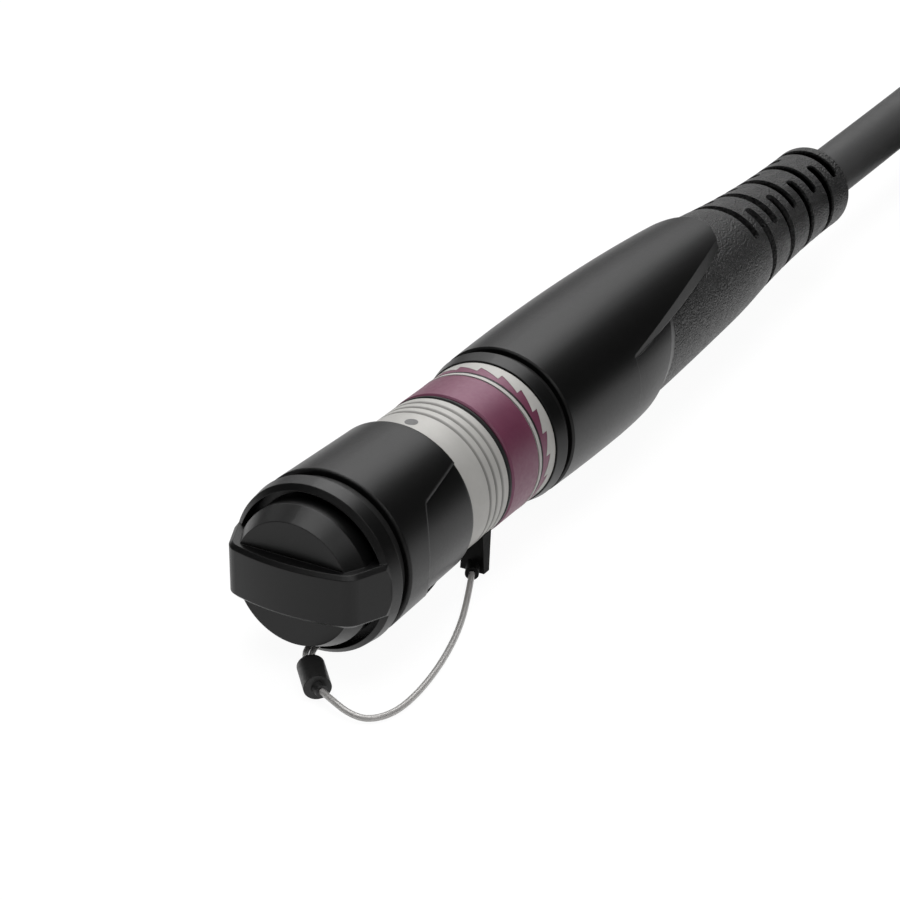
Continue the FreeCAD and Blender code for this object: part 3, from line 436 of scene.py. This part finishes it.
def coil_points():
    """Turns wound in on the upper layer, down, and out again on the lower one."""
    outside = 1 / math.cos(math.pi / POINTS_A_TURN)     # control points stand this far outside their turn
    points = []
    for step in range(round(COIL_TURNS * POINTS_A_TURN)):
        turn = (step + 0.5) / POINTS_A_TURN
        columns_in = sum(ease(turn, *span) for span in STEPS_IN)
        columns_out = sum(ease(turn, *span) for span in STEPS_OUT)
        radius = (OUTER_TURN_R - CABLE_D * (columns_in - columns_out)) * outside
        angle = math.radians(90) - 2 * math.pi * turn
        over_strap = max(0, math.cos(angle)) ** STRAP_LIFT_POWER
        on_upper_layer = 1 - ease(turn, *STEP_DOWN)
        up = CABLE_D / 2 + FLOOR_GAP + STRAP_LIFT * over_strap + CABLE_D * on_upper_layer
        points.append(Vector((COIL_CENTRE.x + radius * math.cos(angle),
                              COIL_CENTRE.y + radius * math.sin(angle), up)) * MM)
    return points


# Control points on both sides of the coil, out of the near boot and into the far one.
CABLE_START = [(90.2, 0, AXIS_Z), (128.8, 0, AXIS_Z)]
CABLE_END = [(148.0, FAR_SHIFT.y, CABLE_D / 2 + FLOOR_GAP), (124.0, FAR_SHIFT.y, AXIS_Z),
             (104.6, FAR_SHIFT.y, AXIS_Z)]


def free_cable():
    """The run from the near boot, the coil, and the run into the far boot."""
    points = [Vector(p) * MM for p in CABLE_START]
    points += coil_points()
    points += [Vector(p) * MM for p in CABLE_END]
    cable = nurbs_line("cable", points, CABLE_D * MM)
    cable.data.materials.append(SLOT_FINISH["cable_jacket"])
    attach(cable, "plug_and_cable")
    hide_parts("cable_run", "cable_coil", "far_run")
    return cable


# Control points from the ferrule to the clip.
TETHER_ROUTE = [(-36.77, -8.95, 1.9), (-37.92, -11.28, 1.9), (-38.8, -14.6, 1.1), (-38.2, -17.6, 0.5),
                (-34.6, -19.9, 0.5), (-28.0, -19.95, 0.5), (-19.5, -18.6, 0.5), (-10.6, -16.2, 0.5),
                (-2.2, -13.0, 0.7), (5.2, -9.6, 1.5)]


def tether(name, shift):
    """Thin wire from the cap's ferrule to the clip, made a mesh."""
    points = [from_cap_rim(*p) + shift for p in TETHER_ROUTE]
    line = nurbs_line(name + "_line", points, 0)
    path = [v.co.copy() for v in bpy.data.meshes.new_from_object(line).vertices]
    bpy.data.objects.remove(line)
    wire = nurbs_line(name, points, WIRE_D * MM, WIRE_ROUND_STEPS)
    wire.data.materials.append(SLOT_FINISH["coated_wire"])
    clear_selection()
    wire.select_set(True)
    bpy.context.view_layer.objects.active = wire
    bpy.ops.object.convert(target="MESH")
    wire = bpy.context.object
    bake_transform(wire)
    return wire


# The coil's strap

STRAP_IN, STRAP_OUT = 30.3, 63.2            # from the coil's middle
STRAP_WIDTH = 16.0
STRAP_TOP = 21.6
STRAP_SHEET = 1.0
STRAP_CORNER = 4.9
CORNER_STEPS = 6
LAP_BED = 0.05                              # how far the lapped end sits in the strap
LAP_INSET = 0.6                             # on each side of its width
LAP_LOW = 5.2
STRAP_EDGE, LAP_EDGE = 0.25, 0.35
EDGE_STEPS = 2
SHARP_EDGE = math.radians(40)
SMOOTH_EDGE = math.radians(35)
FACES_SIDEWAYS = 0.9                        # least share of a normal that points along the strap's width


def strap_block(low, high):
    """A block between two corners in millimetres, as the active object."""
    low, high = Vector(low) * MM, Vector(high) * MM
    clear_selection()
    bpy.ops.mesh.primitive_cube_add(size=1, location=(low + high) / 2)
    block = bpy.context.object
    block.scale = high - low
    bpy.ops.object.transform_apply(location=True, rotation=True, scale=True)
    return block


def break_edges(piece, width_mm):
    """Rounds the sharp edges of a piece."""
    rounding = piece.modifiers.new("rounding", "BEVEL")
    rounding.width = width_mm * MM
    rounding.segments = EDGE_STEPS
    rounding.limit_method = "ANGLE"
    rounding.angle_limit = SHARP_EDGE
    bpy.ops.object.modifier_apply(modifier="rounding")


def strap_band(side, outer_x):
    """Band round the coil's section, rounded at its four corners and open along its width."""
    strap = strap_block((COIL_CENTRE.x + STRAP_IN, COIL_CENTRE.y - side, 0),
                        (outer_x, COIL_CENTRE.y + side, STRAP_TOP))
    strap.name = "coil_strap"
    corners = strap.data.vertices
    for edge in strap.data.edges:
        a, b = [corners[i].co for i in edge.vertices]
        edge.select = abs(a.y - b.y) > side * MM
    for face in strap.data.polygons:
        face.select = False
    bpy.ops.object.mode_set(mode="EDIT")
    bpy.ops.mesh.select_mode(type="EDGE")
    bpy.ops.mesh.bevel(offset=STRAP_CORNER * MM, segments=CORNER_STEPS)
    bpy.ops.mesh.select_all(action="DESELECT")
    bpy.ops.object.mode_set(mode="OBJECT")
    for face in strap.data.polygons:
        face.select = abs(face.normal.y) > FACES_SIDEWAYS
    bpy.ops.object.mode_set(mode="EDIT")
    bpy.ops.mesh.select_mode(type="FACE")
    bpy.ops.mesh.delete(type="FACE")
    bpy.ops.object.mode_set(mode="OBJECT")
    wall = strap.modifiers.new("wall", "SOLIDIFY")
    wall.thickness = STRAP_SHEET * MM
    wall.offset = -1
    bpy.ops.object.modifier_apply(modifier="wall")
    break_edges(strap, STRAP_EDGE)
    return strap


def coil_strap():
    """Woven strap round the coil's section, its free end lapped over the outer side."""
    side = STRAP_WIDTH / 2
    outer_x = COIL_CENTRE.x + STRAP_OUT
    strap = strap_band(side, outer_x)
    lap = strap_block((outer_x - LAP_BED, COIL_CENTRE.y - side + LAP_INSET, LAP_LOW),
                      (outer_x + STRAP_SHEET, COIL_CENTRE.y + side - LAP_INSET, STRAP_TOP - STRAP_CORNER))
    break_edges(lap, LAP_EDGE)
    strap.select_set(True)
    bpy.context.view_layer.objects.active = strap
    bpy.ops.object.join()
    bpy.ops.object.shade_smooth_by_angle(angle=SMOOTH_EDGE)
    strap.data.materials.append(SLOT_FINISH["tie_fabric"])
    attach(strap, "plug_and_cable")
    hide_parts("coil_tie")
    return strap


CABLE_PIECES = 24                           # the most that the cable lists, its strap among them

cable = free_cable()
near_tether = tether("cap_tether", Vector((0, 0, 0)))
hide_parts("tether_cord")
far_tether = tether("far_cap_tether", FAR_SHIFT * MM)
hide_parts("far_tether_cord")
far_plug = [n for n in sorted(NODES) if n.startswith("far_") and n not in ("far_run", "far_tether_cord")]
[NODES[n] for n in far_plug[:CABLE_PIECES - 1]] + [coil_strap()]


# Stage, light and camera

WHITE = (1, 1, 1, 1)
FLOOR_SIZE_M = 6
FLOOR_PLACE_M = (0.1, 0, -0.0002)
FLOOR_GLOW = 1.05
FLOOR_GLOW_SEEN = 0.9                       # share that the camera sees; the rest holds the shadow
# Share of the glow that shows in glossy pieces, over this span across the floor.
SHEEN_FROM_Y, SHEEN_TO_Y = -0.2, 0.2
FLOOR_SHEEN = [(0.15, 0.15), (0.45, 1.0), (0.62, 0.75)]
SKY_SHADE = [(0.0, 0.055), (0.5, 0.035)]    # from the horizon up


def studio_floor():
    """Pale floor, white for the camera but for the object's shadow, and mirrored in glossy pieces."""
    bpy.ops.mesh.primitive_plane_add(size=FLOOR_SIZE_M, location=FLOOR_PLACE_M)
    floor = bpy.context.object
    floor.name = "studio_floor"
    made = finish("pale_floor", grey(0.85), roughness=0.9, specular=0.1)
    glow = add(made, "ShaderNodeEmission", {"Color": WHITE, "Strength": FLOOR_GLOW})
    rays = add(made, "ShaderNodeLightPath").outputs
    across = ranged(made, spot(made)["Y"], SHEEN_FROM_Y, SHEEN_TO_Y)
    sheen = grey_ramp(made, across, FLOOR_SHEEN)
    seen = reckon(made, "MULTIPLY", rays["Is Camera Ray"], FLOOR_GLOW_SEEN)
    share = reckon(made, "MULTIPLY_ADD", rays["Is Glossy Ray"], sheen, seen)
    mix = add(made, "ShaderNodeMixShader", {
        0: share, 1: shader_of(made).outputs["BSDF"], 2: glow.outputs["Emission"]})
    feed(made, made.node_tree.nodes["Material Output"].inputs["Surface"], mix.outputs["Shader"])
    floor.data.materials.append(made)


def studio_world():
    """Dim all round, and white behind the object for the camera."""
    world = bpy.data.worlds.new("studio")
    bpy.context.scene.world = world
    world.use_nodes = True
    nodes = world.node_tree.nodes
    sky = nodes["Background"]
    feed(world, sky.inputs["Color"], grey_ramp(world, spot(world, "Generated")["Z"], SKY_SHADE))
    feed(world, sky.inputs["Strength"], 1.0)
    white = add(world, "ShaderNodeBackground", {"Color": WHITE})
    rays = add(world, "ShaderNodeLightPath").outputs
    mix = add(world, "ShaderNodeMixShader", {
        0: rays["Is Camera Ray"], 1: sky.outputs["Background"], 2: white.outputs["Background"]})
    feed(world, nodes["World Output"].inputs["Surface"], mix.outputs["Shader"])


def softbox(name, place_m, aim_m, size_m, watts):
    """A soft lamp that is not itself in the picture."""
    lamp = bpy.data.lights.new(name, "AREA")
    lamp.shape = "RECTANGLE"
    lamp.size, lamp.size_y = size_m
    lamp.energy = watts
    stand = bpy.data.objects.new(name, lamp)
    stand.location = place_m
    stand.rotation_euler = (Vector(aim_m) - Vector(place_m)).to_track_quat("-Z", "Y").to_euler()
    stand.visible_camera = False
    bpy.context.scene.collection.objects.link(stand)


CAMERA_PLACE_M = (-0.4166, -0.21893, 0.23195)
CAMERA_TILT, CAMERA_TURN = math.radians(63.48), math.radians(-59.57)
FOCAL_LENGTH, SENSOR_WIDTH = 123.84, 36
NEAREST_SEEN_M = 0.01


def photo_camera():
    """The photograph's viewing angle."""
    lens = bpy.data.cameras.new("photo_camera")
    lens.lens = FOCAL_LENGTH
    lens.sensor_width = SENSOR_WIDTH
    lens.clip_start = NEAREST_SEEN_M
    stand = bpy.data.objects.new("photo_camera", lens)
    stand.location = CAMERA_PLACE_M
    stand.rotation_euler = (CAMERA_TILT, 0, CAMERA_TURN)
    bpy.context.scene.collection.objects.link(stand)
    bpy.context.scene.camera = stand


clear_selection()
studio_floor()
studio_world()
softbox("back_softbox", (0.917, 0.78, 0.752), aim_m=(0, 0, 0.02), size_m=(1.7, 0.8), watts=5.6)
softbox("crown_softbox", (0.717, 0.192, 1.187), aim_m=(0, 0, 0), size_m=(1.0, 0.8), watts=10)
softbox("top_softbox", (-0.15, 0.1, 1.3), aim_m=(0, 0, 0), size_m=(1.0, 1.0), watts=10.5)
softbox("side_softbox", (-0.55, -1.0, 1.15), aim_m=(0, 0, 0), size_m=(0.9, 0.9), watts=5.5)
photo_camera()
bpy.context.scene.view_settings.view_transform = "Standard"
